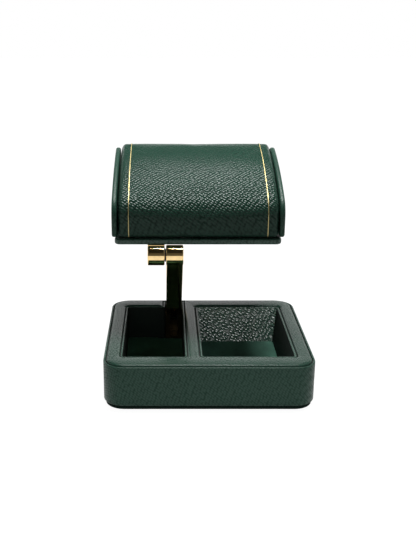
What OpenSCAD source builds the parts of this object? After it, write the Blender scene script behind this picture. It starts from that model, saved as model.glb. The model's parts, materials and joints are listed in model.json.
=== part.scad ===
// Watch stand: a lidless two-compartment tray wrapped in leather, with a folding
// brass arm that carries a padded cushion. X runs to the right, Y to the rear and Z up.
// The origin is the centre of the base's underside. All sizes are in millimetres.

/* [Base] */
// Width of the base, left to right
base_w = 120; // [114:1:150]
// Depth of the base, front to rear
base_d = 111; // [108:1:130]
// Height of the base
base_h = 26.8; // [25:0.2:34]
// Corner radius of the base, seen from above
base_corner = 12; // [8:0.5:16]
// Thickness of the leather wrap with its card backing
wrap_t = 1.2; // [0.9:0.1:1.8]
// Rounding of the wrap's top and bottom edges
wrap_edge = 0.9; // [0.4:0.1:1.2]
// Width of the groove between the wrap and the rim frame
groove_w = 0.6; // [0.4:0.1:1.2]
// Thickness of the bottom board
board_t = 1.8; // [1.5:0.1:3]
// How far the bottom board stands in from the base's sides
board_inset = 1.2; // [0.8:0.1:2.5]
// Height of the shadow gap above the bottom board
shadow_h = 0.8; // [0.5:0.1:1.5]
// How far the shadow gap is cut in, measured from the base's sides
shadow_inset = 2.4; // [2:0.1:3]

/* [Rim and compartments] */
// Thickness of the padded rim frame
rim_t = 1.8; // [1.4:0.1:2.6]
// Rounding of the rim frame's outer top edge
rim_edge = 1.2; // [0.6:0.1:1.3]
// Rounding of the rim frame's outer bottom edge
rim_foot = 0.1; // [0.05:0.05:0.1]
// Width of the rim at the left and right sides
side_bar = 9.1; // [8:0.1:12]
// Width of the rim at the front
front_bar = 13.6; // [10:0.1:16]
// Width of the rim at the rear
rear_bar = 12.8; // [11:0.1:14.5]
// Width of the divider's top
divider_w = 6.6; // [5:0.1:9]
// Corner radius of the rim's openings
opening_corner = 3; // [2:0.5:4]
// Thickness of the carcass floor
floor_t = 1.3; // [1:0.1:2.5]
// Thickness of the lined pads on the compartment floors
pad_t = 0.9; // [0.6:0.1:1.6]
// Thickness of the left compartment's lining boards
liner_t = 1.0; // [0.8:0.1:1.1]
// Gap between a lining and the rim's opening
liner_gap = 0.5; // [0.3:0.1:0.8]
// How far the linings stop below the rim's top
liner_drop = 0.6; // [0.3:0.1:1.2]
// Wall of the right compartment's padded lining at its top
tray_wall = 1.4; // [1:0.1:2]
// How far the right compartment's rear wall leans in at the floor
rear_slope = 6.6; // [3:0.1:9]
// How far the right compartment's right wall leans in at the floor
side_slope = 2.8; // [1:0.1:5]

/* [Arm] */
// Distance of the arm's middle from the base's middle, positive to the right
arm_x = -19.2; // [-22:0.2:-17]
// Width of the arm
arm_w = 10.4; // [9.6:0.1:12]
// Distance between the arm's two pivots
arm_len = 69.5; // [62:0.5:76]
// Lean of the raised arm to the front, in degrees
arm_lean = 40; // [34:1:44]
// Thickness of the arm
arm_t = 9; // [7.5:0.1:10]
// How far the arm's front and sides lie inside its barrel's
arm_step = 0.2; // [0.1:0.1:1]
// Chamfer of the arm's long edges
arm_edge = 0.7; // [0.3:0.1:1]
// Gap between the arm and the lining beside it
arm_side_gap = 0.6; // [0.5:0.1:1.2]
// Radius of the hinge barrels
barrel_r = 6.2; // [5.8:0.1:6.8]
// Chamfer round the ends of the hinge barrels
barrel_edge = 0.8; // [0.3:0.1:1.2]
// How far the lower barrel rises above the rim
barrel_rise = 0.2; // [0:0.1:0.4]

/* [Lower hinge] */
// Thickness of each ear of the bracket
ear_t = 2.5; // [2:0.1:2.8]
// Thickness of the bracket's foot
foot_t = 2.4; // [2:0.1:3]
// Thickness of the bracket's rear web, whose top stops the raised arm
web_t = 2.3; // [1.8:0.1:2.8]
// Radius of the arm's tongue where it clears the web
tongue_r = 4.8; // [4.4:0.1:5.2]
// Radius of the lower hinge pin
lower_pin_r = 2.5; // [2:0.1:2.8]
// Thickness of the friction washers beside the tongue
lower_washer_t = 0.4; // [0.3:0.05:0.6]

/* [Upper hinge] */
// Length of the cushion's hinge knuckle
knuckle_w = 10.2; // [9:0.1:12]
// Gap between the knuckle and the arm, filled by a washer
knuckle_gap = 0.8; // [0.6:0.1:1.2]
// Radius of the upper hinge pin
pin_r = 3; // [2.5:0.1:3.3]
// Radius of the washer between the knuckle and the arm
washer_r = 3.9; // [3.6:0.1:4.5]
// Length of the knuckle's leaf under the cushion
leaf_len = 24; // [20:1:30]
// Thickness of the leaf
leaf_t = 2; // [1.8:0.1:3]
// Thickness of the cap that closes the knuckle
cap_t = 1; // [0.8:0.1:1.6]
// How far the cap reaches past the pin all round
cap_lip = 0.75; // [0.5:0.05:1]

/* [Cushion] */
// Width of the cushion over its end plates
cushion_w = 102.8; // [92:0.2:104]
// Distance of the cushion's middle from the base's middle, positive to the right
cushion_x = -5.3; // [-8:0.1:-2]
// Depth of the cushion, front to rear
cushion_d = 71; // [66:0.5:76]
// How far the cushion's front stands ahead of the upper pivot
cushion_ahead = 1.3; // [0.5:0.1:3]
// Gap between the hinge barrel and the cushion's underside
cushion_gap = 0.5; // [0.4:0.1:1]
// Thickness of the board under the cushion
cradle_t = 4.3; // [3.6:0.1:5.5]
// Corner radius of the board under the cushion, seen from above
cradle_corner = 3; // [1:0.5:5]
// How far that board stands in from the cushion's ends
cradle_inset = 1.6; // [1:0.1:2.5]
// Thickness of the cushion's end plates
end_t = 3.1; // [2.6:0.1:4]
// Rounding of the end plates' edges
end_edge = 0.8; // [0.4:0.1:1.2]
// Height of the front corner's centre above the board
front_h = 14.2; // [11:0.1:18]
// Radius of the front corner
front_r = 8.5; // [6:0.5:10]
// Height of the rear corner's centre above the board
back_h = 34.9; // [30:0.1:40]
// Radius of the rear corner
back_r = 8.5; // [6:0.5:10]
// Radius of the long curve over the top
top_r = 189; // [150:1:260]
// Radius of the lower edges
low_r = 2.4; // [1.5:0.1:4]
// How far the padding stands proud of the end plates
pad_proud = 0.6; // [0.3:0.1:1.2]
// Extra height of the padding in the middle
crown_h = 2; // [0.5:0.1:4]
// Rounding of the padding's shoulders beside the end plates
shoulder_r = 2.2; // [1.5:0.1:3]
// Width of the gold lines
line_w = 0.75; // [0.5:0.05:1.5]
// Distance of the gold lines from the padding's ends
line_in = 6.9; // [5:0.1:12]
// Thickness of the gold lines
line_t = 0.35; // [0.2:0.05:0.6]

/* [Fasteners] */
// Radius of a screw's shank
screw_r = 1.2; // [0.9:0.1:1.4]
// Radius of a screw's countersunk head
head_r = 2.1; // [1.8:0.1:2.4]
// Length of a screw below the piece that it holds
screw_bite = 2.8; // [2:0.1:2.9]
// Spacing of the screws
screw_pitch = 6; // [5.4:0.1:7]

/* [Fits] */
// Gap at glued and pressed joints
fit_gap = 0.02; // [0.01:0.01:0.05]
// Radial gap of a pin that turns
run_gap = 0.05; // [0.03:0.01:0.1]
// Gap round a soft piece or a curved seat
seat_gap = 0.15; // [0.1:0.05:0.25]
// Gap between moving faces of the hinges
move_gap = 0.3; // [0.25:0.05:0.5]

/* [Hidden] */
$fn = 64;
// A small overlap of joined solids, and the length by which a cut passes a face
eps = 0.01;
past = 5;
// Steps of a rounded edge, of a round corner and of the padding's crown
edge_steps = 3;
corner_steps = 10;
crown_steps = 6;

// Heights in the base
wall_z = board_t + shadow_h;
floor_z = wall_z + floor_t;
rim_z = base_h - rim_t;
liner_z = base_h - liner_drop;
rim_in = wrap_t + groove_w;
carcass_in = wrap_t + seat_gap;

// The arm's sides, and the openings of the rim as [left, right, front, rear]
arm_l = arm_x - arm_w / 2;
arm_r = arm_x + arm_w / 2;
open_front = -base_d / 2 + front_bar;
open_rear = base_d / 2 - rear_bar;
open_split = arm_r + arm_side_gap + liner_t + liner_gap;
left_open = [-base_w / 2 + side_bar, open_split, open_front, open_rear];
right_open = [open_split + divider_w, base_w / 2 - side_bar, open_front, open_rear];
notch_l = arm_l - arm_side_gap - liner_t - liner_gap;
notch_rear = base_d / 2 - rim_in;

// Pivots, as [Y, Z]. The cushion stands on the upper one.
lower_y = notch_rear - move_gap - web_t - move_gap - tongue_r;
lower_z = base_h + barrel_rise - barrel_r;
upper_y = lower_y - arm_len * sin(arm_lean);
upper_z = lower_z + arm_len * cos(arm_lean);
arm_start = barrel_r + move_gap;
tongue_w = arm_w - 2 * (ear_t + lower_washer_t + 2 * run_gap);
foot_front = lower_y - barrel_r;
foot_rear = notch_rear - move_gap;
bracket_screw_y = [foot_front + head_r + 1, foot_front + head_r + 1 + screw_pitch];

// The cushion
knuckle_r = arm_l - knuckle_gap;
knuckle_l = knuckle_r - knuckle_w;
cradle_z = upper_z + barrel_r + cushion_gap;
leaf_z = cradle_z - leaf_t;
pad_base_z = cradle_z + cradle_t;
cushion_front = upper_y - cushion_ahead;
cushion_l = cushion_x - cushion_w / 2;
cushion_r = cushion_x + cushion_w / 2;
body_l = cushion_l + end_t + seat_gap;
body_r = cushion_r - end_t - seat_gap;
leaf_front = cushion_front + 0.5;
leaf_screw_x = (knuckle_l + knuckle_r) / 2;
leaf_screw_y = [for (i = [0 : 2]) leaf_front + leaf_len - head_r - 1 - i * screw_pitch];

// Points along an arc about c, from angle a0 to a1 in n steps, without its end if last is 0
function arc(c, r, a0, a1, n, last = 1) =
    [for (i = [0 : n - 1 + last]) let(a = a0 + (a1 - a0) * i / n) c + r * [cos(a), sin(a)]];

// Quarter round of radius r as [how far in, how far up] from the corner of its square
function quarter(r) =
    [for (i = [0 : edge_steps]) let(a = 90 * i / edge_steps) r * [1 - cos(a), 1 - sin(a)]];

// The long curve over the cushion touches both corner circles from outside.
front_c = [front_r, front_h];
back_c = [cushion_d - back_r, back_h];
corner_gap = norm(back_c - front_c);
corner_dir = (back_c - front_c) / corner_gap;
top_along = ((top_r - front_r) ^ 2 - (top_r - back_r) ^ 2 + corner_gap ^ 2) / (2 * corner_gap);
top_down = sqrt((top_r - front_r) ^ 2 - top_along ^ 2);
top_c = front_c + top_along * corner_dir + top_down * [corner_dir.y, -corner_dir.x];
front_a = atan2(front_c.y - top_c.y, front_c.x - top_c.x);
back_a = atan2(back_c.y - top_c.y, back_c.x - top_c.x);

// Outline of the cushion as [Y, Z] from its rear lower edge, grown outwards by g,
// with its height stretched by the factor k
function outline(g, k) = [for (p = concat(
    arc([cushion_d - low_r, low_r], low_r + g, -90, 0, 3),
    arc(back_c, back_r + g, 0, back_a, 8, 0),
    arc(top_c, top_r + g, back_a, front_a, 12, 0),
    arc(front_c, front_r + g, front_a, 180, 6),
    arc([low_r, low_r], low_r + g, 180, 270, 3))) [p.x, max(p.y, 0) * k]];

// Stretch of the padding's height at x: full in the middle, none at the ends
function crown(x) = 1 + crown_h / (back_h + back_r) * (1 - (2 * (x - cushion_x) / (body_r - body_l)) ^ 2);

// Rectangle with round corners, from its limits [left, right, front, rear]
module round_rect(b, r) {
    translate([b[0] + r, b[2]]) square([b[1] - b[0] - 2 * r, b[3] - b[2]]);
    translate([b[0], b[2] + r]) square([b[1] - b[0], b[3] - b[2] - 2 * r]);
    for (x = [b[0] + r, b[1] - r], y = [b[2] + r, b[3] - r]) translate([x, y]) circle(r);
}

// The same limits moved in by d
function inset(b, d) = [b[0] + d, b[1] - d, b[2] + d, b[3] - d];

// The base's limits moved in by d
function base_box(d) = inset([-base_w / 2, base_w / 2, -base_d / 2, base_d / 2], d);

// A slab of the base's outline, moved in by d, from z0 to z1
module base_slab(d, z0, z1) {
    translate([0, 0, z0]) linear_extrude(z1 - z0) round_rect(base_box(d), base_corner - d);
}

// A closed solid through rings of points. Each ring runs anticlockwise, seen from the last one.
module loft(rings) {
    n = len(rings[0]);
    top = (len(rings) - 1) * n;
    polyhedron([for (ring = rings) each ring], concat(
        [[for (i = [0 : n - 1]) i], [for (i = [n - 1 : -1 : 0]) top + i]],
        [for (j = [0 : n : top - 1], i = [0 : n - 1]) [j + i, j + n + i, j + n + (i + 1) % n]],
        [for (j = [0 : n : top - 1], i = [0 : n - 1]) [j + i, j + n + (i + 1) % n, j + (i + 1) % n]]));
}

// The base's outline as a ring of points at height z, moved in by d
function base_ring(d, z) = let(x = base_w / 2 - base_corner, y = base_d / 2 - base_corner)
    [for (q = [[x, y, 0], [-x, y, 90], [-x, -y, 180], [x, -y, 270]])
        each [for (p = arc([q.x, q.y], base_corner - d, q.z, q.z + 90, corner_steps)) [p.x, p.y, z]]];

// A slab of the base's outline with rounded edges of radius top and bottom
module soft_slab(d, z0, z1, top, bottom) {
    low = [for (q = quarter(bottom)) base_ring(d + q.x, z0 + q.y)];
    high = [for (q = quarter(top)) base_ring(d + q.x, z1 - q.y)];
    loft(concat([for (i = [len(low) - 1 : -1 : 0]) low[i]], high));
}

// The notch behind the left opening that lets the arm stand up, moved in by d
module notch(d) {
    translate([notch_l + d, open_rear - past])
        square([open_split - notch_l - 2 * d, notch_rear - open_rear + past]);
}

// The left compartment's outline with its notch, moved in by d
module left_outline(d) {
    round_rect(inset(left_open, d), opening_corner - d);
    notch(d);
}

// A cylinder along X from x0 to x1 about the pivot [y, z]
module x_cylinder(x0, x1, y, z, r) {
    translate([x0, y, z]) rotate([0, 90, 0]) cylinder(h = x1 - x0, r = r);
}

// A hinge barrel along X with chamfered ends
module barrel(x0, x1, y, z) {
    e = barrel_edge;
    h = x1 - x0;
    translate([x0, y, z]) rotate([0, 90, 0]) rotate_extrude()
        polygon([[0, 0], [barrel_r - e, 0], [barrel_r - 0.3 * e, 0.3 * e], [barrel_r, e],
            [barrel_r, h - e], [barrel_r - 0.3 * e, h - 0.3 * e], [barrel_r - e, h], [0, h]]);
}

// A countersunk screw, pointing down, with its head's face at z = 0. Its hole is the
// same shape, larger by g all round and without the slot.
module screw(held_t, g = 0) {
    head_h = head_r - screw_r;
    difference() {
        union() {
            translate([0, 0, -head_h]) cylinder(h = head_h, r1 = screw_r + g, r2 = head_r + g);
            translate([0, 0, -held_t - screw_bite - g])
                cylinder(h = held_t + screw_bite + g, r = screw_r + g);
            if (g > 0) cylinder(h = past / 10, r = head_r + g);
        }
        if (g == 0) translate([-head_r, -0.25, -0.45]) cube([2 * head_r, 0.5, 1]);
    }
}

// The bracket's screws, and the hinge's, which point up into the cushion
module bracket_screw_set(g = 0) {
    for (y = bracket_screw_y) translate([arm_x, y, floor_z + foot_t]) screw(foot_t, g);
}
module hinge_screw_set(g = 0) {
    for (y = leaf_screw_y) translate([leaf_screw_x, y, leaf_z]) rotate([180, 0, 0]) screw(leaf_t, g);
}

module bottom_board() color("#10150f") {
    difference() {
        base_slab(board_inset, 0, board_t);
        bracket_screw_set(fit_gap);
    }
}

// The box under the leather, with a pocket for each compartment and the arm's notch
module carcass() color("#3a3226") {
    difference() {
        union() {
            base_slab(shadow_inset, board_t, wall_z + eps);
            base_slab(carcass_in, wall_z, rim_z);
        }
        translate([0, 0, floor_z]) linear_extrude(base_h) left_outline(liner_gap - fit_gap);
        translate([0, 0, floor_z]) linear_extrude(base_h)
            round_rect(inset(right_open, liner_gap - fit_gap), opening_corner - liner_gap);
        bracket_screw_set(fit_gap);
    }
}

module outer_wrap() color("#1b3a2e") {
    difference() {
        soft_slab(0, wall_z, base_h, wrap_edge, wrap_edge);
        base_slab(wrap_t, 0, base_h + past);
    }
}

module rim_frame() color("#24453a") {
    difference() {
        soft_slab(rim_in, rim_z, base_h, rim_edge, rim_foot);
        translate([0, 0, rim_z - past]) linear_extrude(base_h) round_rect(left_open, opening_corner);
        translate([0, 0, rim_z - past]) linear_extrude(base_h) round_rect(right_open, opening_corner);
        translate([notch_l, open_rear - past, rim_z - past])
            cube([open_split - notch_l, base_d, base_h]);
    }
}

// Lining boards round the left compartment and along the notch
module left_liner() color("#1d2b24") {
    translate([0, 0, floor_z]) linear_extrude(liner_z - floor_z) difference() {
        left_outline(liner_gap);
        left_outline(liner_gap + liner_t);
        translate([notch_l, notch_rear - liner_gap - liner_t - eps]) square([arm_w + past, past]);
    }
}

// Padded lining of the right compartment, whose rear and right walls lean in
module right_liner() color("#1f4135") {
    b = inset(right_open, liner_gap + tray_wall);
    h = liner_z - floor_z;
    difference() {
        translate([0, 0, floor_z]) linear_extrude(h)
            round_rect(inset(right_open, liner_gap), opening_corner - liner_gap);
        intersection() {
            translate([b[0], 0, floor_z]) rotate([90, 0, 90]) linear_extrude(b[1] - b[0])
                polygon([[b[2], -eps], [b[3] - rear_slope, -eps], [b[3], h],
                    [b[3], h + past], [b[2], h + past]]);
            translate([0, b[3], floor_z]) rotate([90, 0, 0]) linear_extrude(b[3] - b[2])
                polygon([[b[0], -eps], [b[1] - side_slope, -eps], [b[1], h],
                    [b[1], h + past], [b[0], h + past]]);
        }
    }
}

module left_floor_pad() color("#16251f") {
    b = inset(left_open, liner_gap + liner_t + seat_gap);
    difference() {
        translate([0, 0, floor_z]) linear_extrude(pad_t) round_rect(b, 1);
        translate([arm_l - past, foot_front - move_gap, 0]) cube([arm_w + 3 * past, past, base_h]);
    }
}

module right_floor_pad() color("#1f4a3a") {
    b = inset(right_open, liner_gap + tray_wall + seat_gap);
    translate([0, 0, floor_z]) linear_extrude(pad_t)
        round_rect([b[0], b[1] - side_slope, b[2], b[3] - rear_slope], 1);
}

// Two ears joined by a foot and a rear web. The web's top stops the arm.
module arm_bracket() color("#b08d4a") {
    web_h = lower_z - run_gap - floor_z;
    difference() {
        union() {
            translate([arm_l, foot_front, floor_z]) cube([arm_w, foot_rear - foot_front, foot_t]);
            translate([arm_l, foot_rear - web_t, floor_z]) cube([arm_w, web_t, web_h]);
            for (x = [arm_l, arm_r - ear_t]) {
                translate([x, foot_front, floor_z]) cube([ear_t, foot_rear - foot_front, web_h]);
                x_cylinder(x, x + ear_t, lower_y, lower_z, barrel_r);
            }
        }
        x_cylinder(arm_l - past, arm_r + past, lower_y, lower_z, lower_pin_r + fit_gap);
        bracket_screw_set(fit_gap);
    }
}

module bracket_screws() color("#c9a96a") bracket_screw_set();

module lower_pin() color("#c9a96a") {
    x_cylinder(arm_l + fit_gap, arm_r - fit_gap, lower_y, lower_z, lower_pin_r);
}

module lower_washers() color("#222222") {
    for (x = [arm_l + ear_t + run_gap, arm_r - ear_t - run_gap - lower_washer_t]) difference() {
        x_cylinder(x, x + lower_washer_t, lower_y, lower_z, tongue_r - run_gap);
        x_cylinder(x - past, x + past, lower_y, lower_z, lower_pin_r + run_gap);
    }
}

// The arm leans with its lower pivot at the origin of this frame. Its tongue runs
// between the ears, and the step of the larger half circle lands on the web.
module arm_bar() color("#c9a96a") {
    difference() {
        union() {
            translate([arm_x, lower_y, lower_z]) rotate([arm_lean, 0, 0]) translate([0, 0, arm_start])
                linear_extrude(arm_len - arm_start) bar_section();
            translate([arm_x - tongue_w / 2, lower_y, lower_z]) rotate([90, 0, 90])
                linear_extrude(tongue_w) tongue_outline();
            barrel(arm_l, arm_r, upper_y, upper_z);
        }
        x_cylinder(arm_l - past, arm_r + past, lower_y, lower_z, lower_pin_r + run_gap);
        x_cylinder(arm_l - past, arm_r - 2 * barrel_edge, upper_y, upper_z, pin_r + fit_gap);
    }
}

// The arm's section, with its front towards the lower edge and chamfered corners
module bar_section() {
    w = arm_w / 2 - arm_step;
    front = arm_step - barrel_r;
    back = front + arm_t;
    c = arm_edge;
    polygon([[-w + c, front], [w - c, front], [w, front + c], [w, back - c],
        [w - c, back], [-w + c, back], [-w, back - c], [-w, front + c]]);
}

// The tongue seen from the side, as [Y, Z] about the lower pivot
module tongue_outline() {
    circle(tongue_r);
    intersection() {
        circle(barrel_r);
        translate([-2 * barrel_r, 0]) square([4 * barrel_r, 2 * barrel_r]);
    }
    rotate(arm_lean) translate([arm_step - tongue_r, 0])
        square([arm_t + tongue_r - barrel_r - arm_step, arm_start + arm_step]);
}

module hinge_pin() color("#c9a96a") {
    x_cylinder(knuckle_l + cap_t + run_gap, arm_r - 2 * barrel_edge - fit_gap, upper_y, upper_z, pin_r);
}

module hinge_washer() color("#222222") {
    difference() {
        x_cylinder(knuckle_r + run_gap, arm_l - run_gap, upper_y, upper_z, washer_r);
        x_cylinder(knuckle_r - past, arm_l + past, upper_y, upper_z, pin_r + run_gap);
    }
}

// The cushion's half of the hinge: a barrel with a leaf that is screwed to the board
module hinge_knuckle() color("#c9a96a") {
    difference() {
        union() {
            barrel(knuckle_l, knuckle_r, upper_y, upper_z);
            translate([knuckle_l, leaf_front, leaf_z]) cube([knuckle_w, leaf_len, leaf_t]);
            translate([knuckle_l + barrel_edge, leaf_front, upper_z])
                cube([knuckle_w - 2 * barrel_edge, upper_y + barrel_r - leaf_front, cradle_z - upper_z]);
        }
        x_cylinder(knuckle_l - past, knuckle_r + past, upper_y, upper_z, pin_r + run_gap);
        x_cylinder(knuckle_l - past, knuckle_l + cap_t, upper_y, upper_z, pin_r + cap_lip);
        hinge_screw_set(fit_gap);
    }
}

module hinge_cap() color("#c9a96a") {
    x_cylinder(knuckle_l, knuckle_l + cap_t - fit_gap, upper_y, upper_z, pin_r + cap_lip - fit_gap);
}

module hinge_screws() color("#c9a96a") hinge_screw_set();

module cradle_plate() color("#1b3a2e") {
    b = [cushion_l + cradle_inset, cushion_r - cradle_inset, cushion_front, cushion_front + cushion_d];
    difference() {
        translate([0, 0, cradle_z]) linear_extrude(cradle_t) round_rect(b, cradle_corner);
        hinge_screw_set(fit_gap);
    }
}

// The cushion's outline as a ring of points at x, grown by g and stretched by k
function cushion_ring(x, g, k) = [for (p = outline(g, k)) [x, cushion_front + p.x, pad_base_z + p.y]];

// A part of the cushion from x0 to x1 with rounded edges of radius r, and with extra rings at xs
module cushion_loft(x0, x1, r, g, k0, k1, xs = []) {
    left = [for (q = quarter(r)) cushion_ring(x0 + q.y, g - q.x, k0)];
    right = [for (q = quarter(r)) cushion_ring(x1 - q.y, g - q.x, k1)];
    loft(concat([for (i = [len(left) - 1 : -1 : 0]) left[i]],
        [for (x = xs) cushion_ring(x, g, crown(x))], right));
}

module end_plate_left() color("#1b3a2e") cushion_loft(cushion_l, cushion_l + end_t, end_edge, 0, 1, 1);
module end_plate_right() color("#1b3a2e") cushion_loft(cushion_r - end_t, cushion_r, end_edge, 0, 1, 1);

// The padding, with round shoulders beside the end plates
module cushion_body() color("#24453a") {
    step = (body_r - body_l) / crown_steps;
    cushion_loft(body_l, body_r, shoulder_r, pad_proud,
        crown(body_l + shoulder_r), crown(body_r - shoulder_r),
        [for (i = [1 : crown_steps - 1]) body_l + i * step]);
}

// A slice of the cushion about x, w wide, grown by g
module cushion_slice(x, w, g) {
    translate([x - w / 2, cushion_front, pad_base_z]) rotate([90, 0, 90])
        linear_extrude(w) polygon(outline(g, crown(x)));
}

// A flat gilt strip laid over the padding about x
module gold_line(x) color("#e2c07a") {
    difference() {
        cushion_slice(x, line_w, pad_proud + run_gap + line_t);
        cushion_slice(x, 2 * line_w, pad_proud + run_gap);
    }
}
module gold_line_left() gold_line(body_l + line_in);
module gold_line_right() gold_line(body_r - line_in);

bottom_board();
carcass();
outer_wrap();
rim_frame();
left_liner();
right_liner();
left_floor_pad();
right_floor_pad();
arm_bracket();
bracket_screws();
lower_pin();
lower_washers();
arm_bar();
hinge_pin();
hinge_washer();
hinge_knuckle();
hinge_cap();
hinge_screws();
cradle_plate();
end_plate_left();
end_plate_right();
cushion_body();
gold_line_left();
gold_line_right();
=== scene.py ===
# %% [markdown]
# # A leather watch stand, dressed piece by piece
# The construction is already there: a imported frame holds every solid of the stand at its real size.
# This lesson loads that frame and gives it its looks. Soft leather skins replace the plain solids,
# hinge pieces get the rounded edges that polished brass needs, and node materials do the rest.
# Places and outer sizes are read from the frame, so the skins follow when the frame changes.

# %% Load the frame
import json
import math

import bmesh
import bpy
from mathutils import Matrix, Vector, kdtree


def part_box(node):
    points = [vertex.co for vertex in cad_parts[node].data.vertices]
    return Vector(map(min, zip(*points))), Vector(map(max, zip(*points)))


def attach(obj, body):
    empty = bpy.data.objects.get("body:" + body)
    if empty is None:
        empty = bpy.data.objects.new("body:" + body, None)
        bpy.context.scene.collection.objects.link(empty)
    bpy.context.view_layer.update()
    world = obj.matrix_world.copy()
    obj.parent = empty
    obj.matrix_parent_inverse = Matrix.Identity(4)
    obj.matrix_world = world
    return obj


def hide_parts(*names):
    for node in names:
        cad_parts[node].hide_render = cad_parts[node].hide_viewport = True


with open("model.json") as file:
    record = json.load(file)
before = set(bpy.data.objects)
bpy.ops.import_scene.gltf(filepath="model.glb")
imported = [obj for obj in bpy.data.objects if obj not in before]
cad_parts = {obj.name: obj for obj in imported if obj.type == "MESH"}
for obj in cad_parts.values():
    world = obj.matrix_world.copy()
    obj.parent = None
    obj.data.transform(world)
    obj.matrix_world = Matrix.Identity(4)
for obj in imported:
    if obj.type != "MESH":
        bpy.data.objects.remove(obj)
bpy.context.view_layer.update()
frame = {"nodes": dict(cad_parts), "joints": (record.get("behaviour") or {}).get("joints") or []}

# %% [markdown]
# ## Lengths
# Blender counts in metres and a leatherworker in millimetres, so one constant turns the second into
# the first. A node's box gives its lowest and its highest corner, and most pieces start from one.

# %% Units and places
MM = 0.001


def limits(node):
    """The node's box as left, right, front, rear, bottom, top."""
    low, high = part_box(node)
    return low[0], high[0], low[1], high[1], low[2], high[2]


arm_joint, tilt_joint = frame["joints"]
LOWER_PIVOT = Vector(arm_joint["pos_m"])
UPPER_PIVOT = Vector(tilt_joint["pos_m"])
BASE_TOP = limits("outer_wrap")[5]
print("pivots", LOWER_PIVOT, UPPER_PIVOT, "base top", round(BASE_TOP, 4))

# %% [markdown]
# ## Camera
# The photograph is taken from 18 degrees above the table and a little to the left of the middle.
# A fit of the base's straight edges gave the lens and the place. The lens looks straight ahead,
# and a small sideways shift puts the stand where the photograph has it.

# %% Camera
CAMERA_PLACE = Vector((-25.1, -480.6, 218.3)) * MM
CAMERA_DOWN = 18.19
CAMERA_LENS = 54.47
CAMERA_SHIFT = 0.0778
CAMERA_NEAREST = 10 * MM

camera_data = bpy.data.cameras.new("photo_camera")
camera_data.lens = CAMERA_LENS
camera_data.shift_x = CAMERA_SHIFT
camera_data.clip_start = CAMERA_NEAREST
camera = bpy.data.objects.new("photo_camera", camera_data)
camera.location = CAMERA_PLACE
camera.rotation_euler = (math.radians(90 - CAMERA_DOWN), 0, 0)
bpy.context.scene.collection.objects.link(camera)
bpy.context.scene.camera = camera
bpy.context.scene.view_settings.view_transform = "Standard"
print("camera at", [round(c, 3) for c in CAMERA_PLACE])

# %% [markdown]
# ## A few words of node language
# A material is a graph. These helpers add a node, join two sockets and build the small sums that the
# finishes share, so that each finish below reads as a recipe and not as plumbing.

# %% Node helpers


def node_add(tree, kind, **values):
    """Adds a node and sets its sockets by name, or its settings where no socket has that name."""
    made = tree.nodes.new(kind)
    for key, value in values.items():
        if key in made.inputs:
            made.inputs[key].default_value = value
        else:
            setattr(made, key, value)
    return made


def join(tree, out, socket):
    """Links an output to an input."""
    tree.links.new(out, socket)


def math_node(tree, kind, a, b):
    """A Math node whose inputs are sockets or plain numbers."""
    made = node_add(tree, "ShaderNodeMath", operation=kind)
    for slot, value in enumerate((a, b)):
        if isinstance(value, (int, float)):
            made.inputs[slot].default_value = value
        else:
            join(tree, value, made.inputs[slot])
    return made.outputs[0]


print("node helpers ready")

# %% [markdown]
# ## Colours along a ramp
# Most patterns are one number between 0 and 1 at each place, and a ramp turns it into a colour or
# into another number. A stop of a ramp wants an alpha as well, so two small helpers add it.

# %% Ramp helpers


def ramp(tree, factor, low, high, low_color, high_color):
    """A colour ramp with one stop at low and one at high."""
    made = node_add(tree, "ShaderNodeValToRGB")
    first, last = made.color_ramp.elements
    first.position, last.position = low, high
    first.color, last.color = low_color, high_color
    join(tree, factor, made.inputs[0])
    return made.outputs[0]


def solid(color, share=1.0):
    """A colour, or a share of it, with the alpha that a ramp's stop needs."""
    return tuple(share * c for c in color) + (1,)


def grey(level):
    """A grey of that level, which a ramp hands on as a plain number."""
    return solid((1, 1, 1), level)


print("ramp helpers ready")

# %% [markdown]
# ## A material to start from
# A new material comes with a Principled shader. Each pattern below is read at the object's own
# coordinates. All pieces lie at the origin and unturned, so these are the places on the stand in
# metres. A pattern then has the same scale everywhere, and it moves along when its piece moves.

# %% Material helpers


def new_material(name):
    """A material, with its node tree, its Principled shader and the object's own coordinates."""
    made = bpy.data.materials.new(name)
    made.use_nodes = True
    tree = made.node_tree
    shader = tree.nodes["Principled BSDF"]
    place = tree.nodes.new("ShaderNodeTexCoord").outputs["Object"]
    return made, tree, shader, place


def set_bump(tree, shader, height, distance):
    """Lets a height between 0 and 1 raise the surface by that distance."""
    bump = node_add(tree, "ShaderNodeBump", Strength=1.0, Distance=distance)
    join(tree, height, bump.inputs["Height"])
    join(tree, bump.outputs[0], shader.inputs["Normal"])


print("material helpers ready")

# %% [markdown]
# ## Pebbles in rows
# The skin is a dark green calf with a pressed grain: slanted rows of small domed pebbles, with a
# crease between them. Plain noise would look like orange peel, so a Voronoi texture lays out the
# pebbles. It is a flat one, read at two slanted measures of the place on the stand. They were chosen
# so that both change along level, front and side faces alike, and so the rows run on over an edge.
# Randomness shakes the pebbles out of their rows a little, and noise bends the rows first. The
# squared distance from a pebble's middle, upside down, is its dome.

# %% Pebble layout
BEND_RATE = 0.16
BEND_REACH = 0.7
ROW_DIRECTIONS = ((0.72, 0.69, 0.9), (-0.72, 0.69, 0.25))
DOME_EDGE = 0.4


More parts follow.
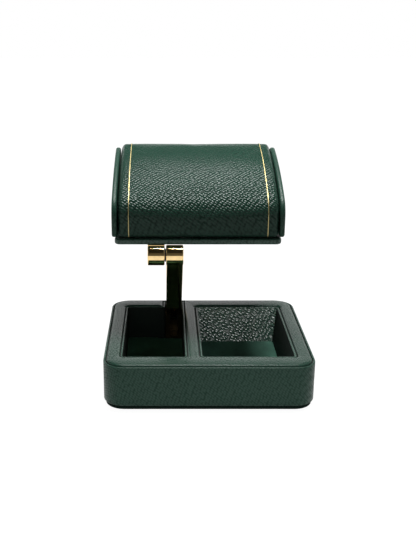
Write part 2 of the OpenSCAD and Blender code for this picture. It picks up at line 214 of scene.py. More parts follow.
def pebble_domes(tree, place, pebble, uneven):
    """Domes of one pebble's width, 1 on top and 0 in the crease. Uneven ones leave their rows more."""
    bend = node_add(tree, "ShaderNodeTexNoise", Scale=BEND_RATE / pebble, Detail=1.0)
    join(tree, place, bend.inputs["Vector"])
    bent = node_add(tree, "ShaderNodeVectorMath", operation="MULTIPLY_ADD")
    join(tree, bend.outputs["Color"], bent.inputs[0])
    bent.inputs[1].default_value = (BEND_REACH * pebble,) * 3
    join(tree, place, bent.inputs[2])
    flat = tree.nodes.new("ShaderNodeCombineXYZ")
    for axis, direction in enumerate(ROW_DIRECTIONS):
        along = node_add(tree, "ShaderNodeVectorMath", operation="DOT_PRODUCT")
        join(tree, bent.outputs[0], along.inputs[0])
        along.inputs[1].default_value = direction
        join(tree, along.outputs["Value"], flat.inputs[axis])
    cells = node_add(tree, "ShaderNodeTexVoronoi", voronoi_dimensions="2D", feature="F1",
                     Scale=1 / pebble, Randomness=uneven)
    join(tree, flat.outputs[0], cells.inputs["Vector"])
    squared = math_node(tree, "MULTIPLY", cells.outputs["Distance"], cells.outputs["Distance"])
    return ramp(tree, squared, 0.0, DOME_EDGE, grey(1), grey(0))


print("pebble layout ready")

# %% [markdown]
# ## Where the skin is taut
# Leather that is pulled tight loses some of its grain. On the cushion the grain is deep over the
# shoulder and fades towards the top and the front. That goes by height, so a ramp along Z says what
# share of the grain is left.

# %% Taut skin


def free_grain(tree, place, stops):
    """The share of the grain that is left, from (height, share) stops in rising order."""
    bottom, top = stops[0][0], stops[-1][0]
    axes = tree.nodes.new("ShaderNodeSeparateXYZ")
    join(tree, place, axes.inputs[0])
    level = node_add(tree, "ShaderNodeMapRange", **{"From Min": bottom, "From Max": top})
    join(tree, axes.outputs["Z"], level.inputs["Value"])
    share_ramp = node_add(tree, "ShaderNodeValToRGB")
    join(tree, level.outputs[0], share_ramp.inputs[0])
    elements = share_ramp.color_ramp.elements
    for index, (height, share) in enumerate(stops):
        position = (height - bottom) / (top - bottom)
        element = elements[index] if index in (0, len(stops) - 1) else elements.new(position)
        element.position = position
        element.color = grey(share)
    return share_ramp.outputs[0]


print("taut skin ready")

# %% [markdown]
# ## The leather itself
# The domes drive everything at once, as on a real hide. They raise the surface, with fine pores on
# top of them, and the top of a pebble is smoother and glossier than the crease. Its colour is painted
# lighter and the crease's darker, a painted highlight and painted shade of the grain. Soft clouds over
# the whole skin keep the colour from looking printed. The same recipe serves every leather piece, with
# another pebble size, relief, gloss and green: the wrap is rolled flat, the rim is pressed finely, and
# the tray's rear wall is coarse and shiny.

# %% Leather recipe
PORE_RATE = 3.2
PORE_DEPTH = 0.1
CLOUD_SCALE = 38.0
# The domes' share of the tone and the lift on their tops paint the pebble tops lighter than the creases:
# painted highlight and painted shade of the grain.
DOME_TONE, CLOUD_TONE = 0.75, 0.35
DOME_PAINTED_LIGHT = 1.2
ROUGHER, SMOOTHER = 0.14, 0.04
DOME_GLOSS, SKIN_GLOSS, TAUT_GLOSS = 0.7, 0.5, 0.5


def pebbled_leather(name, color, pebble, relief, rough, gloss, crease=0.5, uneven=0.4, taut=()):
    """Leather of that linear colour, with pebbles of that width and relief in mm.

    crease is the colour's share that is left in the creases, a painted shade, and taut has the stops of
    free_grain.
    """
    material, tree, shader, place = new_material(name)
    domes = pebble_domes(tree, place, pebble * MM, uneven)
    pores = node_add(tree, "ShaderNodeTexNoise", Scale=PORE_RATE / (pebble * MM), Detail=2.0, Roughness=0.6)
    clouds = node_add(tree, "ShaderNodeTexNoise", Scale=CLOUD_SCALE, Detail=4.0)
    for noise in (pores, clouds):
        join(tree, place, noise.inputs["Vector"])
    height = math_node(tree, "ADD", domes, math_node(tree, "MULTIPLY", pores.outputs["Fac"], PORE_DEPTH))
    tone = math_node(tree, "ADD", math_node(tree, "MULTIPLY", domes, DOME_TONE),
                     math_node(tree, "MULTIPLY", clouds.outputs["Fac"], CLOUD_TONE))
    shine = math_node(tree, "ADD", math_node(tree, "MULTIPLY", domes, DOME_GLOSS * gloss), SKIN_GLOSS * gloss)
    if taut:
        free = free_grain(tree, place, taut)
        height = math_node(tree, "MULTIPLY", height, free)
        shine = math_node(tree, "MULTIPLY", shine, math_node(tree, "ADD", free, TAUT_GLOSS))
    set_bump(tree, shader, height, relief * MM)
    # Base colour: pebble tops painted lighter and creases painted darker, as painted light and shade; the
    # clouds are the skin's own tone.
    join(tree, ramp(tree, tone, 0.05, 1.0, solid(color, crease), solid(color, DOME_PAINTED_LIGHT)),
         shader.inputs["Base Color"])
    join(tree, ramp(tree, tone, 0.1, 1.0, grey(rough + ROUGHER), grey(rough - SMOOTHER)),
         shader.inputs["Roughness"])
    join(tree, shine, shader.inputs["Specular IOR Level"])
    return material


# %% Leathers of the stand
GREEN = (0.0125, 0.040, 0.027)
RIM_GREEN = (0.0108, 0.035, 0.0235)
END_GREEN = (0.017, 0.053, 0.036)
# The ledge's green is painted lighter than the rest: painted light on the ledge.
LIT_LEDGE_GREEN = (0.018, 0.058, 0.039)
# The tray's rear-wall green is painted much lighter: painted light on the wall that faces the lamps.
LIT_TRAY_GREEN = (0.034, 0.107, 0.073)
BOARD_GREEN = (0.005, 0.014, 0.010)
PAD_TAUT = ((87 * MM, 0.4), (98 * MM, 1.0), (113 * MM, 1.0), (128 * MM, 0.35))

pad_leather = pebbled_leather("pad_leather", GREEN, 2.0, 0.31, rough=0.25, gloss=0.122, taut=PAD_TAUT)
wrap_leather = pebbled_leather("wrap_leather", GREEN, 1.4, 0.03, rough=0.38, gloss=0.2, crease=0.7)
rim_leather = pebbled_leather("rim_leather", RIM_GREEN, 1.4, 0.09, rough=0.26, gloss=0.14)
tray_leather = pebbled_leather("tray_leather", LIT_TRAY_GREEN, 2.3, 0.5, rough=0.27, gloss=2.9, uneven=0.6)
end_leather = pebbled_leather("end_leather", END_GREEN, 1.2, 0.06, rough=0.36, gloss=0.2)
lit_ledge_leather = pebbled_leather("lit_ledge_leather", LIT_LEDGE_GREEN, 1.4, 0.12, rough=0.3, gloss=0.4)
board_leather = pebbled_leather("board_leather", BOARD_GREEN, 1.0, 0.07, rough=0.7, gloss=0.05)
print("leathers", [m.name for m in bpy.data.materials if "leather" in m.name])

# %% [markdown]
# ## Smooth lining
# The compartments' walls and floors are covered in a smooth dark green lining with almost no grain.
# One flat colour would look like paint, so a very fine nap and a few soft clouds share the tone. The
# walls' near-black colour is painted shade of the deep compartments. The floors are painted lighter
# than the walls, as in the photograph, where more light falls on them, and the left floor under the
# cushion is painted darker than the tray's floor, as painted shade.

# %% Lining recipe
NAP_SCALE, NAP_CLOUD_SCALE = 2600.0, 70.0
NAP_DEPTH = 0.03 * MM
NAP_DARK, NAP_LIGHT = 0.6, 1.45


def smooth_lining(name, color, rough=0.62, gloss=0.12):
    """A thin lining of that linear colour."""
    material, tree, shader, place = new_material(name)
    nap = node_add(tree, "ShaderNodeTexNoise", Scale=NAP_SCALE, Detail=3.0)
    clouds = node_add(tree, "ShaderNodeTexNoise", Scale=NAP_CLOUD_SCALE, Detail=3.0)
    for noise in (nap, clouds):
        join(tree, place, noise.inputs["Vector"])
    tone = math_node(tree, "ADD", math_node(tree, "MULTIPLY", nap.outputs["Fac"], 0.5),
                     math_node(tree, "MULTIPLY", clouds.outputs["Fac"], 0.5))
    join(tree, ramp(tree, tone, 0.3, 0.7, solid(color, NAP_DARK), solid(color, NAP_LIGHT)),
         shader.inputs["Base Color"])
    set_bump(tree, shader, nap.outputs["Fac"], NAP_DEPTH)
    shader.inputs["Roughness"].default_value = rough
    shader.inputs["Specular IOR Level"].default_value = gloss
    return material


# The walls' near-black is painted shade. The floors are painted lighter as painted light, and the left one
# less so, as painted shade under the cushion.
lining = smooth_lining("lining", (0.0025, 0.007, 0.0048))
floor_lining = smooth_lining("floor_lining", (0.024, 0.072, 0.048))
tray_floor_lining = smooth_lining("tray_floor_lining", (0.040, 0.112, 0.080), rough=0.6, gloss=0.2)
print("linings ready")

# %% [markdown]
# ## Brass and gilt
# The hinge is lacquered brass, polished until it mirrors the table and the dark room behind the
# camera. A mirror shows no pattern of its own, so the finish lives in the tint, in a faint waviness
# left by the buffing wheel, and in hairlines that only show where a light grazes them. With more
# roughness and deeper waves the same recipe gives the gilt strips, which are foil on soft leather.
# With a dark tint, which is painted shade, it gives the bracket down in the dark compartment.

# %% Brass recipe
WHEEL_SCALE, SMEAR_SCALE = 160.0, 240.0
HAIRLINE_SCALES = (60.0, 2500.0, 2500.0)
HAIRLINE_DEPTH = 0.05
SMEAR_ROUGH, SMEAR_TINT = 0.09, 0.86


def polished_brass(name, color, rough=0.07, wave=0.006):
    """Metal of that linear tint, with waves of that depth in mm."""
    material, tree, shader, place = new_material(name)
    wheel = node_add(tree, "ShaderNodeTexNoise", Scale=WHEEL_SCALE, Detail=1.0)
    smear = node_add(tree, "ShaderNodeTexNoise", Scale=SMEAR_SCALE, Detail=3.0)
    along = node_add(tree, "ShaderNodeMapping", Scale=HAIRLINE_SCALES)
    for made in (wheel, smear, along):
        join(tree, place, made.inputs["Vector"])
    hairlines = node_add(tree, "ShaderNodeTexNoise", Scale=1.0, Detail=2.0)
    join(tree, along.outputs[0], hairlines.inputs["Vector"])
    height = math_node(tree, "ADD", wheel.outputs["Fac"],
                       math_node(tree, "MULTIPLY", hairlines.outputs["Fac"], HAIRLINE_DEPTH))
    set_bump(tree, shader, height, wave * MM)
    join(tree, ramp(tree, smear.outputs["Fac"], 0.4, 0.75, grey(rough), grey(rough + SMEAR_ROUGH)),
         shader.inputs["Roughness"])
    join(tree, ramp(tree, smear.outputs["Fac"], 0.3, 0.8, solid(color), solid(color, SMEAR_TINT)),
         shader.inputs["Base Color"])
    shader.inputs["Metallic"].default_value = 1.0
    return material


brass = polished_brass("brass", (0.90, 0.66, 0.33))
# The bracket's near-black tint is painted shade of the compartment it stands in.
shaded_dark_brass = polished_brass("shaded_dark_brass", (0.05, 0.038, 0.018), rough=0.3, wave=0.01)
gilt = polished_brass("gilt", (0.48, 0.40, 0.19), rough=0.5, wave=0.3)
print("brass ready")

# %% [markdown]
# ## Black washers and raw board
# Two small finishes are left: the matt washers between the hinge's faces, and the fibreboard of the
# carcass, which shows only down in the groove beside the rim. Both are one colour, broken by noise.

# %% Washer and board recipe
GRAIN_DARK = 0.7
GRAIN_DEPTH = 0.04 * MM


def grainy(name, color, rough, grain):
    """A matt finish of that linear colour, with noise of that scale."""
    material, tree, shader, place = new_material(name)
    noise = node_add(tree, "ShaderNodeTexNoise", Scale=grain, Detail=4.0)
    join(tree, place, noise.inputs["Vector"])
    join(tree, ramp(tree, noise.outputs["Fac"], 0.3, 0.7, solid(color, GRAIN_DARK), solid(color)),
         shader.inputs["Base Color"])
    set_bump(tree, shader, noise.outputs["Fac"], GRAIN_DEPTH)
    shader.inputs["Roughness"].default_value = rough
    return material


washer_black = grainy("washer_black", (0.012, 0.012, 0.012), 0.5, 1500.0)
carcass_board = grainy("carcass_board", (0.010, 0.014, 0.011), 0.8, 900.0)
print("small finishes ready")

# %% [markdown]
# ## Outlines that become leather boards
# Almost every leather piece of the base is a flat shape with round corners and a soft edge: the rim,
# the wrap, the linings and the boards. One idea makes them all. A shape is a list of corners, each
# with its own radius. Its vertices are rounded with a vertex bevel, the loop is repeated at a few
# heights, a little smaller each time, and neighbouring loops are bridged. The last loops are filled.
# Moving every corner square to its two edges is all it takes to shrink a loop.

# %% Corners
LEAST_RADIUS = 0.05 * MM


def box_corners(left, right, front, rear, radius):
    """An outer loop of four corners, anticlockwise seen from above."""
    return [(right, front, radius), (right, rear, radius), (left, rear, radius), (left, front, radius)]


def shrink(corners, inset):
    """Moves each corner into the piece, which lies on the left of the loop, and fits its radius."""
    moved = []
    for i, (x, y, radius) in enumerate(corners):
        before = Vector(corners[i - 1][:2])
        after = Vector(corners[(i + 1) % len(corners)][:2])
        here = Vector((x, y))
        along_in = (here - before).normalized()
        along_out = (after - here).normalized()
        left_in = Vector((-along_in.y, along_in.x))
        left_out = Vector((-along_out.y, along_out.x))
        turns_left = along_in.x * along_out.y - along_in.y * along_out.x > 0
        place = here + inset * (left_in + left_out)
        moved.append((place.x, place.y, max(LEAST_RADIUS, radius + (-inset if turns_left else inset))))
    return moved


print("corner helpers ready")

# %% Loops from corners
CORNER_STEPS = 8


def make_loop(bm, corners, z):
    """A closed loop of edges through the corners at height z, each rounded with a vertex bevel."""
    verts = [bm.verts.new((x, y, z)) for x, y, _ in corners]
    edges = {bm.edges.new((a, b)) for a, b in zip(verts, verts[1:] + verts[:1])}
    for vert, (_, _, radius) in zip(verts, corners):
        edges.difference_update(vert.link_edges)
        out = bmesh.ops.bevel(bm, geom=[vert], offset=radius, offset_type="OFFSET", affect="VERTICES",
                              segments=CORNER_STEPS, profile=0.5, material=-1)
        edges.update(out["edges"])
        for made in out["verts"]:
            edges.update(made.link_edges)
    return [e for e in edges if e.is_valid]


def soft_edge(radius, steps=4):
    """A quarter round as (inset, drop) pairs, from the side of the piece to its flat."""
    angles = [math.pi / 2 * i / steps for i in range(steps + 1)]
    return [(radius * (1 - math.cos(a)), radius * (1 - math.sin(a))) for a in angles]


def bridge_all(bm, loops):
    """Bridges each loop to the next one."""
    for one, other in zip(loops, loops[1:]):
        bmesh.ops.bridge_loops(bm, edges=one + other)


def soft_board(bm, outlines, bottom, top, top_edge, bottom_edge=0.0, spread=1.0):
    """A board between two heights, whose outlines, outer and holes, get soft edges.

    spread makes the top edge's round wider than it is high.
    """
    levels = [(0.0, bottom)]
    if bottom_edge:
        levels = [(inset, bottom + drop) for inset, drop in reversed(soft_edge(bottom_edge))]
    levels += [(spread * inset, top - drop) for inset, drop in soft_edge(top_edge)]
    ends = ([], [])
    for corners in outlines:
        loops = [make_loop(bm, shrink(corners, inset), z) for inset, z in levels]
        bridge_all(bm, loops)
        ends[0].extend(loops[0])
        ends[1].extend(loops[-1])
    for loop in ends:
        bmesh.ops.triangle_fill(bm, edges=loop, use_beauty=True)


print("outline helpers ready")

# %% [markdown]
# ## From a bmesh to a piece of the stand
# Every piece ends in the same way. Doubles are merged and the faces turned outwards, the mesh gets
# its material, the frame's nodes that the piece replaces are hidden, and it rides on its body.
# Faces are shaded smooth, apart from edges that are sharper than an angle.

# %% Finish a piece
WELD = 0.002 * MM


def finish_piece(bm, name, material, body, replaces, smooth=35):
    """Turns the bmesh into a piece of the stand that rides on its body."""
    bmesh.ops.remove_doubles(bm, verts=bm.verts, dist=WELD)
    bmesh.ops.recalc_face_normals(bm, faces=bm.faces)
    mesh = bpy.data.meshes.new(name)
    bm.to_mesh(mesh)
    bm.free()
    mesh.shade_smooth()
    mesh.set_sharp_from_angle(angle=math.radians(smooth))
    mesh.materials.append(material)
    piece = bpy.data.objects.new(name, mesh)
    bpy.context.scene.collection.objects.link(piece)
    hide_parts(*replaces)
    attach(piece, body)
    print(name, len(mesh.polygons), "faces")
    return piece


def paint_faces(piece, material, wanted):
    """Gives the faces that are wanted a further material."""
    piece.data.materials.append(material)
    for face in piece.data.polygons:
        if wanted(face):
            face.material_index = len(piece.data.materials) - 1


print("finishing helpers ready")

# %% [markdown]
# ## Bottom board and wrap
# The bottom board is a plain leather-covered slab. The wrap is a band of pebbled leather round the
# whole tray: its outline is the outer loop, and the loop of its inner side makes the hole. Its upper
# edge stops a little below the rim, which leaves the dark line that the photograph shows there.

# %% Bottom board and wrap
LEFT, RIGHT, FRONT, REAR, WRAP_BOTTOM, _ = limits("outer_wrap")
CORNER = 12.0 * MM
BOARD_INSET = 1.2 * MM
BOARD_EDGE = 0.6 * MM
LOW_EDGE = 0.5 * MM
WRAP_CARD = 1.2 * MM
WRAP_EDGE = 0.58 * MM
WRAP_DROP = 0.8 * MM

bm = bmesh.new()
left, right, front, rear, bottom, top = limits("bottom_board")
outline = box_corners(left, right, front, rear, CORNER - BOARD_INSET)
soft_board(bm, [outline], bottom, top, BOARD_EDGE, LOW_EDGE)
finish_piece(bm, "bottom_cover", board_leather, "root", ["bottom_board"])

bm = bmesh.new()
outer = box_corners(LEFT, RIGHT, FRONT, REAR, CORNER)
inner = shrink(outer, WRAP_CARD)
soft_board(bm, [outer, list(reversed(inner))], WRAP_BOTTOM, BASE_TOP - WRAP_DROP, WRAP_EDGE, LOW_EDGE)
finish_piece(bm, "leather_wrap", wrap_leather, "root", ["outer_wrap"])

# %% [markdown]
# ## The padded rim
# The rim is the most telling piece of the base. It is one padded frame, cut out for both
# compartments, and open at the back where the arm stands. So the left opening and the outside are
# one single loop with ten corners, and only the right opening is a hole. Its edge is rounder
# sideways than down, because thin foam under the leather flattens it.

# %% Rim
rim_left, rim_right, rim_front, rim_rear, rim_bottom, rim_top = limits("rim_frame")
liner_left, liner_right, liner_front, liner_rear, liner_bottom, liner_top = limits("left_liner")
tray_left, tray_right, tray_front, tray_rear, tray_bottom, tray_top = limits("right_liner")
GAP = 0.5 * MM
RIM_INSET = 1.8 * MM
RIM_CORNER = CORNER - RIM_INSET
OPEN_CORNER = 3.0 * MM
NOTCH_CORNER = 0.9 * MM
NOTCH_ROOM = 2.1 * MM
NOTCH_LEFT = limits("arm_bar")[0] - NOTCH_ROOM
RIM_EDGE = 1.2 * MM
RIM_SPREAD = 1.5
open_left, open_right = liner_left - GAP, liner_right + GAP
open_front, open_rear = tray_front - GAP, tray_rear + GAP

bm = bmesh.new()
rim_loop = [(rim_right, rim_front, RIM_CORNER), (rim_right, rim_rear, RIM_CORNER),
            (open_right, rim_rear, NOTCH_CORNER), (open_right, open_front, OPEN_CORNER),
            (open_left, open_front, OPEN_CORNER), (open_left, open_rear, OPEN_CORNER),
            (NOTCH_LEFT, open_rear, NOTCH_CORNER), (NOTCH_LEFT, rim_rear, NOTCH_CORNER),
            (rim_left, rim_rear, RIM_CORNER), (rim_left, rim_front, RIM_CORNER)]
tray_hole = box_corners(tray_left - GAP, tray_right + GAP, open_front, open_rear, OPEN_CORNER)
soft_board(bm, [rim_loop, list(reversed(tray_hole))], rim_bottom, rim_top, RIM_EDGE, spread=RIM_SPREAD)
finish_piece(bm, "padded_rim", rim_leather, "root", ["rim_frame"])

# %% [markdown]
# ## Lining of the left compartment
# A drop-in lining stands in each compartment, and its top edge shows as a thin rolled line inside
# the rim. On the left it is a wall of thin board. It follows the compartment and turns back along
# the notch, but leaves the notch itself open for the arm. So it is one loop that runs along the
# inner faces and comes back along the outer ones. The cushion's leather covers its upward edge.

# %% Left lining
LINER_BOARD = 1.0 * MM
LINER_CORNER, LINER_CORNER_IN = 2.5 * MM, 1.5 * MM
LINER_BEND = 0.4 * MM
LINER_END = 0.3 * MM
LINER_EDGE = 0.42 * MM
LOOKS_UP = 0.6
in_left, in_right = liner_left + LINER_BOARD, liner_right - LINER_BOARD
in_front, in_rear = liner_front + LINER_BOARD, tray_rear - LINER_BOARD
bend_left, bend_right = NOTCH_LEFT + GAP, NOTCH_LEFT + GAP + LINER_BOARD


def top_leather(piece):
    """Covers the upward edge of a lining with the leather of the end plates."""
    paint_faces(piece, end_leather, lambda face: face.normal.z > LOOKS_UP)


bm = bmesh.new()
liner_loop = [(liner_right, liner_front, LINER_CORNER), (liner_right, liner_rear, LINER_END),
              (in_right, liner_rear, LINER_END), (in_right, in_front, LINER_CORNER_IN),
              (in_left, in_front, LINER_CORNER_IN), (in_left, in_rear, LINER_CORNER_IN),
              (bend_right, in_rear, LINER_BEND), (bend_right, liner_rear, LINER_END),
              (bend_left, liner_rear, LINER_END), (bend_left, tray_rear, LINER_BEND),
              (liner_left, tray_rear, LINER_CORNER), (liner_left, liner_front, LINER_CORNER)]
soft_board(bm, [liner_loop], liner_bottom, liner_top, LINER_EDGE)
# Its walls take the near-black lining, painted shade of the compartment under the cushion.
top_leather(finish_piece(bm, "left_lining", lining, "root", ["left_liner"]))

# %% [markdown]
# ## The right tray
# The right lining is padded, and its rear and right walls lean in towards the floor. It is one sheet
# of loops: up the outside, over the rolled edge and down the inside. Each inner loop is a box whose
# rear and right sides have moved in by their share of the lean. The last one ends just below the top
# of the floor pad, which hides it. The rear wall has the coarse shiny leather, in a green painted much
# lighter than the near-black walls: painted light where the wall catches the light, painted shade on
# the other walls.

# %% Tray
FLOOR_TOP = limits("right_floor_pad")[5]
TRAY_DEPTH = tray_top - FLOOR_TOP
WALL_TOP = 1.4 * MM
REAR_LEAN, SIDE_LEAN = 6.6 * MM, 2.8 * MM
TRAY_CORNER = 2.5 * MM
TRAY_CORNER_IN, CORNER_GROWTH = 1.6 * MM, 1.5 * MM
ROLL = 0.6 * MM
WALL_SHARES = (0.25, 0.5, 0.75, 1.02)
LOOKS_FRONT = -0.5


def tray_inner(down, wider=0.0):
    """The inside loop at a share of the way down, made wider where the top edge is rolled."""
    inset = WALL_TOP - wider
    return box_corners(tray_left + inset, tray_right - inset - down * SIDE_LEAN, tray_front + inset,
                       tray_rear - inset - down * REAR_LEAN, TRAY_CORNER_IN + down * CORNER_GROWTH)


def is_lit_rear_wall(face):
    """Faces of the leaning rear wall, which get the painted light, and not those of the tray's outside."""
    return face.normal.y < LOOKS_FRONT and face.center.y > tray_rear - REAR_LEAN - 2 * WALL_TOP


bm = bmesh.new()
tray_outer = box_corners(tray_left, tray_right, tray_front, tray_rear, TRAY_CORNER)
roll = soft_edge(ROLL)
loops = [make_loop(bm, tray_outer, tray_bottom)]
loops += [make_loop(bm, shrink(tray_outer, inset), tray_top - drop) for inset, drop in roll]
loops += [make_loop(bm, tray_inner(0.0, inset), tray_top - drop) for inset, drop in reversed(roll)]
loops += [make_loop(bm, tray_inner(share), tray_top - share * TRAY_DEPTH) for share in WALL_SHARES]
bridge_all(bm, loops)
for loop in (loops[0], loops[-1]):
    bmesh.ops.triangle_fill(bm, edges=loop, use_beauty=True)
# The tray's walls take the near-black lining as painted shade, and its rear wall the lighter leather as
# painted light.
tray = finish_piece(bm, "right_tray", lining, "root", ["right_liner"])
paint_faces(tray, tray_leather, is_lit_rear_wall)
top_leather(tray)

# %% [markdown]
# ## The cushion's side view
# The cushion is a wedge with one long curve over its top. Its side view is drawn the way it would be
# on paper, with arcs: a vertex starts at the front, spins about the front corner's centre, then about
# the centre of the long curve far below, then about the rear corner's centre. The long curve touches
# both corner arcs of the frame's solid, which gives its centre. The leather then rounds the front
# corner more than the solid does, so that its shine fades over the width that the photograph shows.
# The larger arc still touches the long curve and the front.

# %% Arcs of the side view
PAD_FRONT, PAD_REAR, PAD_BASE, PLATE_TOP = limits("end_plate_left")[2:]
CORNER_R = 8.5 * MM
CORNER_FRONT_R = 13.0 * MM
CORNER_HEIGHT = 14.2 * MM
TOP_R = 189.0 * MM
LOW_R = 2.4 * MM

sharp_centre = Vector((0, PAD_FRONT + CORNER_R, PAD_BASE + CORNER_HEIGHT))
rear_centre = Vector((0, PAD_REAR - CORNER_R, PLATE_TOP - CORNER_R))
chord = rear_centre - sharp_centre
sag = math.sqrt((TOP_R - CORNER_R) ** 2 - (chord.length / 2) ** 2)
chord_down = Vector((0, chord.z, -chord.y)).normalized()
top_centre = (sharp_centre + rear_centre) / 2 + sag * chord_down
front_y = PAD_FRONT + CORNER_FRONT_R
front_rise = math.sqrt((TOP_R - CORNER_FRONT_R) ** 2 - (front_y - top_centre.y) ** 2)
front_centre = Vector((0, front_y, top_centre.z + front_rise))


def angle_about(centre, other):
    """Angle of other, seen from centre, in the plane of Y and Z."""
    return math.atan2(other.z - centre.z, other.y - centre.y)


FRONT_ANGLE = angle_about(top_centre, front_centre)
REAR_ANGLE = angle_about(top_centre, rear_centre)
print("top curve turns by", round(math.degrees(FRONT_ANGLE - REAR_ANGLE), 1), "degrees")

# %% Side view of the cushion
ARCS = [(Vector((0, PAD_FRONT + LOW_R, PAD_BASE + LOW_R)), LOW_R, math.pi * 1.5, math.pi, 5),
        (front_centre, CORNER_FRONT_R, math.pi, FRONT_ANGLE, 16),
        (top_centre, TOP_R, FRONT_ANGLE, REAR_ANGLE, 36),
        (rear_centre, CORNER_R, REAR_ANGLE, 0.0, 14),
        (Vector((0, PAD_REAR - LOW_R, PAD_BASE + LOW_R)), LOW_R, 0.0, -math.pi / 2, 5)]
TINY = 0.001 * MM


def side_view(bm, x, grow, stretch=1.0, lowest=0.0):
    """The closed side view at x, grown outwards. Its height is stretched about its base."""
    ends = []
    for centre, radius, start, end, steps in ARCS:
        r = radius + grow
        first = bm.verts.new((x, centre.y + r * math.cos(start), centre.z + r * math.sin(start)))
        spun = bmesh.ops.spin(bm, geom=[first], cent=(x, centre.y, centre.z), axis=(1, 0, 0),
                              angle=end - start, steps=steps)
        ends.append((first, spun["geom_last"][0]))
    for (_, last), (first, _) in zip(ends, ends[1:] + ends[:1]):
        if (last.co - first.co).length > TINY:
            bm.edges.new((last, first))
    bmesh.ops.remove_doubles(bm, verts=[v for v in bm.verts if abs(v.co.x - x) < TINY], dist=TINY)
    made = [v for v in bm.verts if abs(v.co.x - x) < TINY]
    for vert in made:
        vert.co.z = PAD_BASE + max(lowest, (vert.co.z - PAD_BASE) * stretch)
    return list({e for v in made for e in v.link_edges if abs(e.other_vert(v).co.x - x) < TINY})


def side_loft(bm, slices):
    """Bridges side views, given as the arguments of side_view, and closes both ends."""
    loops = [side_view(bm, *one) for one in slices]
    bridge_all(bm, loops)
    for end in (loops[0], loops[-1]):
        bmesh.ops.triangle_fill(bm, edges=end, use_beauty=True)


print("side view ready")

# %% [markdown]
# ## End plates
# A leather-covered board closes each end of the cushion. Both its rims are well rounded, so beside
# the padding they form a deep V that reads as a black line. A slice is bridged to the next, each a
# little smaller towards the board's faces.

# %% End plates
PLATE_EDGE = 1.15 * MM

for side in ("left", "right"):
    left, right = limits(f"end_plate_{side}")[:2]
    bm = bmesh.new()
    slices = [(left + drop, -inset) for inset, drop in reversed(soft_edge(PLATE_EDGE))]
    slices += [(right - drop, -inset) for inset, drop in soft_edge(PLATE_EDGE)]
    side_loft(bm, slices)
    finish_piece(bm, f"end_board_{side}", end_leather, "cushion", [f"end_plate_{side}"])

# %% [markdown]
# ## The padding
# The padding is foam under leather. It is lofted like the end plates, with wide round shoulders and a
# fuller middle, and it stops a little short of both plates and of the board below, which leaves the
# dark lines of the photograph. It has many slices, so that the next step can move each of them.

# %% Padding, lofted
BODY_LEFT, BODY_RIGHT = limits("cushion_body")[:2]
LEFT_GAP, RIGHT_GAP = 0.5 * MM, 0.3 * MM
PAD_LEFT, PAD_RIGHT = BODY_LEFT + LEFT_GAP, BODY_RIGHT - RIGHT_GAP
PAD_MIDDLE = (PAD_LEFT + PAD_RIGHT) / 2
PAD_HALF = (PAD_RIGHT - PAD_LEFT) / 2
PAD_GAP = 0.7 * MM
CROWN = 0.4 * MM
CROWN_POWER = 4
LIFT = 1.9 * MM
PROUD = 0.3 * MM
SHOULDER = 2.8 * MM
SHOULDER_STEPS = 6
SHOULDER_SPREAD = 1.5
SLICES = 30


def crown_at(x):
    """Stretch of the padding's height at x, full in the middle."""
    fullness = 1 - ((x - PAD_MIDDLE) / PAD_HALF) ** CROWN_POWER
    return 1 + (LIFT + CROWN * fullness) / (PLATE_TOP - PAD_BASE)


def pad_slice(x, inset=0.0):
    """The arguments of side_view for a slice of the padding."""
    return x, PROUD - inset, crown_at(x), PAD_GAP


bm = bmesh.new()
shoulder = [(SHOULDER_SPREAD * inset, drop) for inset, drop in soft_edge(SHOULDER, SHOULDER_STEPS)]
slices = [pad_slice(PAD_LEFT + drop, inset) for inset, drop in reversed(shoulder)]
for i in range(1, SLICES):
    slices.append(pad_slice(PAD_LEFT + SHOULDER + 2 * (PAD_HALF - SHOULDER) * i / SLICES))
slices += [pad_slice(PAD_RIGHT - drop, inset) for inset, drop in shoulder]
side_loft(bm, slices)
padding = finish_piece(bm, "cushion_padding", pad_leather, "cushion", ["cushion_body"],
                       smooth=60)

# %% [markdown]
# ## Blowing the padding up
# A real pad is tight in its middle and dips where its leather is glued down. A cloth simulation
# finds that form: an even skin made from the loft gets pressure from inside, and its base and its
# two ends stay pinned. What the simulation gives is a field of small moves. Each vertex of the loft
# takes the mean move of the nearest points of the skin, never more than a fraction of a millimetre,
# because foam is firm. The gilt strips take the same moves later, so they stay on the leather.

# %% Cloth simulation
SKIN_CELL = 2.4 * MM
MOST_MOVE = 0.5 * MM
PRESSURE = 4.0
LAST_FRAME = 20


def even_skin(piece):
    """A copy of the piece whose faces are all about as large as a cell."""
    skin = bpy.data.objects.new("skin", piece.data.copy())
    bpy.context.scene.collection.objects.link(skin)
    remesh = skin.modifiers.new("even", "REMESH")
    remesh.mode = "VOXEL"
    remesh.voxel_size = SKIN_CELL
    even = bpy.data.meshes.new_from_object(skin.evaluated_get(bpy.context.evaluated_depsgraph_get()))
    skin.modifiers.clear()
    skin.data = even
    return skin


